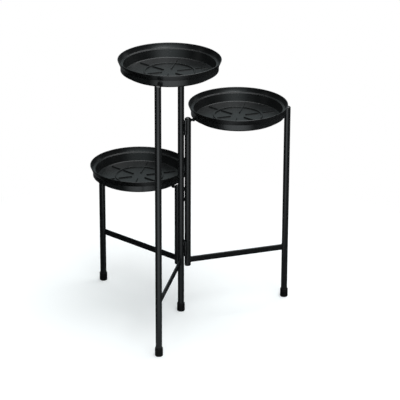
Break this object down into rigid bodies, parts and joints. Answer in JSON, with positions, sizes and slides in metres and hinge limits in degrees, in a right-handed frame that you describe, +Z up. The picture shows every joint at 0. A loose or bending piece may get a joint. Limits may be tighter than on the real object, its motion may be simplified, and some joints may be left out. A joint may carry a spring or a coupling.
{
  "type": "folding plant stand",
  "caption": "Free-standing folding plant stand: hinged round-tube frames at stepped heights, each carrying a shallow round saucer in a steel hoop on pivot pins, with flat-oval crossrails and capped feet.",
  "frame": {"origin": "centre of the hinge post foot's sole, on the floor", "axes": "+Z up along the posts; the tall frame runs along -Y from the hinge post, the middle frame at +30 degrees and the low frame at +150 degrees from +X"},
  "size_m": [0.5041, 0.4771, 0.724],
  "materials": {
    "post_steel": "satin powder coat",
    "cap_plastic": "satin",
    "foot_rubber": "matt",
    "pin_steel": "black oxide",
    "saucer_plastic": "satin moulded"
  },
  "bodies": {
    "tall_frame": {"hinge_post": "post_steel", "tall_front_post": "post_steel", "tall_rail": "post_steel", "tall_post_caps": "cap_plastic", "hinge_post_foot": "foot_rubber", "tall_front_foot": "foot_rubber", "tall_pivot_pins": "pin_steel", "hinge_post_knuckles": "post_steel", "middle_hinge_pins": "pin_steel"},
    "middle_frame": {"middle_inner_post": "post_steel", "middle_outer_post": "post_steel", "middle_rail": "post_steel", "middle_post_caps": "cap_plastic", "middle_end_plug": "cap_plastic", "middle_foot": "foot_rubber", "middle_pivot_pins": "pin_steel", "middle_front_knuckles": "post_steel", "middle_rear_knuckles": "post_steel", "low_hinge_pins": "pin_steel"},
    "low_frame": {"low_inner_post": "post_steel", "low_outer_post": "post_steel", "low_rail": "post_steel", "low_post_caps": "cap_plastic", "low_end_plug": "cap_plastic", "low_foot": "foot_rubber", "low_pivot_pins": "pin_steel", "low_knuckles": "post_steel"},
    "tall_tray": {"tall_hoop": "post_steel", "tall_saucer": "saucer_plastic"},
    "middle_tray": {"middle_hoop": "post_steel", "middle_saucer": "saucer_plastic"},
    "low_tray": {"low_hoop": "post_steel", "low_saucer": "saucer_plastic"}
  },
  "joints": [
    {"name": "middle_swing", "type": "hinge", "parent": "tall_frame", "child": "middle_frame", "pos_m": [0.0122, -0.00314, 0.3], "axis": [0, 0, -1], "range_deg": [0, 105]},
    {"name": "low_swing", "type": "hinge", "parent": "middle_frame", "child": "low_frame", "pos_m": [0.00175, 0.01248, 0.24], "axis": [0, 0, -1], "range_deg": [0, 112]},
    {"name": "tall_tray_tilt", "type": "hinge", "parent": "tall_frame", "child": "tall_tray", "pos_m": [0, -0.132, 0.6945], "axis": [0, -1, 0], "range_deg": [0, 90]},
    {"name": "middle_tray_tilt", "type": "hinge", "parent": "middle_frame", "child": "middle_tray", "pos_m": [0.1299, 0.075, 0.5175], "axis": [0.866, 0.5, 0], "range_deg": [0, 90]},
    {"name": "low_tray_tilt", "type": "hinge", "parent": "low_frame", "child": "low_tray", "pos_m": [-0.12516, 0.07857, 0.3335], "axis": [0.866, -0.5, 0], "range_deg": [0, 90]}
  ]
}
